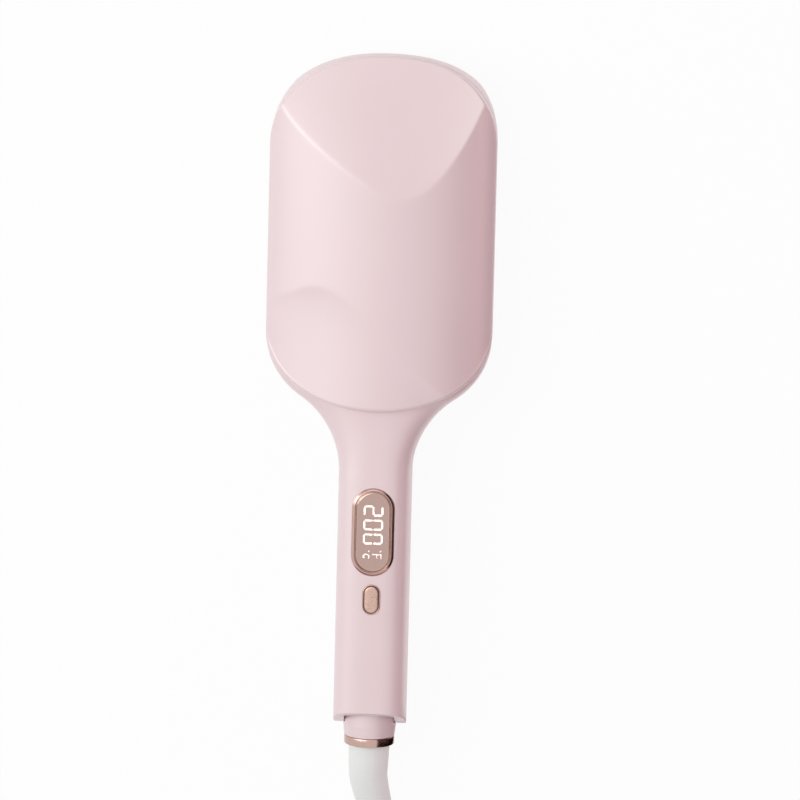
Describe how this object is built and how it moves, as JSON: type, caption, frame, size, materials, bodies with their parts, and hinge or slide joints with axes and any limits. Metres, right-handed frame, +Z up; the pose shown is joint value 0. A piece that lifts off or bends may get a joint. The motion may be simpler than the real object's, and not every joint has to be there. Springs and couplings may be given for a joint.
{
  "type": "hair waver",
  "caption": "Corded hair waver: two hinged arms with wide waved heating plates, a digital display, a power button, a lock slider and a swivel cord.",
  "frame": {"origin": "on the table, below the middle of the tool without its cord: halfway from the tail ring to the tip of the head", "axes": "+X across the tool, to the right of its face; +Y from the tail to the tip of the head; +Z up, out of the face with the display"},
  "size_m": [0.1555, 0.4801, 0.046],
  "materials": {
    "pink_plastic": "satin soft-touch, pale pink",
    "rose_gold": "polished rose gold plating",
    "tinted_lens": "half-mirrored, rose tint",
    "lit_digit": "lit white",
    "dark_plastic": "fine matt",
    "frame_plastic": "heat resistant, fine matt",
    "liner_plastic": "fine matt",
    "coated_plate": "smooth ceramic coating, rose brown",
    "heater": "strip heater in amber film",
    "spring_steel": "bright",
    "board": "solder mask green",
    "component": "moulded",
    "contact": "bright",
    "white_plastic": "satin",
    "cord_white": "smooth white flexible jacket",
    "wire": "silicone sleeve",
    "pad_wool": "glass wool mat",
    "pin_metal": "nickel plated"
  },
  "bodies": {
    "back_arm": {"back_handle_shell": "pink_plastic", "back_head_cover": "pink_plastic", "back_inner_frame": "frame_plastic", "back_handle_liner": "liner_plastic", "back_wave_plate": "coated_plate", "back_heater": "heater", "back_heater_clamp": "spring_steel", "back_insulation_pad": "pad_wool", "back_sensor": "dark_plastic", "back_plate_screws": "spring_steel", "back_clamp_screws": "spring_steel", "back_cover_screws": "spring_steel", "back_liner_screws": "spring_steel", "back_wires": "wire", "tail_block": "pink_plastic", "tail_screws": "spring_steel", "hinge_pins": "spring_steel", "hinge_spring": "spring_steel", "brush_contacts": "contact", "cord_guard": "cord_white", "power_cord": "cord_white", "cord_coil": "cord_white", "cord_tie": "cord_white", "plug_cord": "cord_white", "plug_body": "white_plastic", "plug_pins": "pin_metal"},
    "front_arm": {"front_handle_shell": "pink_plastic", "front_head_cover": "pink_plastic", "front_inner_frame": "frame_plastic", "front_handle_liner": "liner_plastic", "lock_catch": "liner_plastic", "front_wave_plate": "coated_plate", "front_heaters": "heater", "front_heater_clamps": "spring_steel", "front_insulation_pad": "pad_wool", "front_thermal_fuse": "spring_steel", "front_sensor": "dark_plastic", "front_plate_screws": "spring_steel", "front_clamp_screws": "spring_steel", "front_cover_screws": "spring_steel", "front_liner_screws": "spring_steel", "front_wires": "wire", "display_bezel": "rose_gold", "display_lens": "tinted_lens", "display_module": "dark_plastic", "display_digits": "lit_digit", "control_board": "board", "board_parts": "component", "board_screws": "spring_steel", "tact_switch": "dark_plastic", "button_bezel": "rose_gold"},
    "button": {"power_button": "rose_gold", "switch_plunger": "white_plastic"},
    "swivel": {"swivel_bush": "white_plastic", "swivel_clip": "spring_steel", "slip_rings": "contact", "tail_ring": "rose_gold"},
    "lock": {"lock_slider": "pink_plastic"}
  },
  "joints": [
    {"name": "arm_hinge", "type": "hinge", "parent": "back_arm", "child": "front_arm", "pos_m": [0, -0.1438, 0.022], "axis": [1, 0, 0], "range_deg": [0, 22], "deforming": ["hinge_spring"]},
    {"name": "button_press", "type": "slide", "parent": "front_arm", "child": "button", "axis": [0, 0, -1], "range_m": [0, 0.0005], "stiffness_N_per_m": 2000},
    {"name": "cord_swivel", "type": "hinge", "parent": "back_arm", "child": "swivel", "pos_m": [0, -0.1503, 0.022], "axis": [0, 1, 0], "continuous": true},
    {"name": "lock_slide", "type": "slide", "parent": "back_arm", "child": "lock", "axis": [0, 1, 0], "range_m": [0, 0.005]}
  ]
}
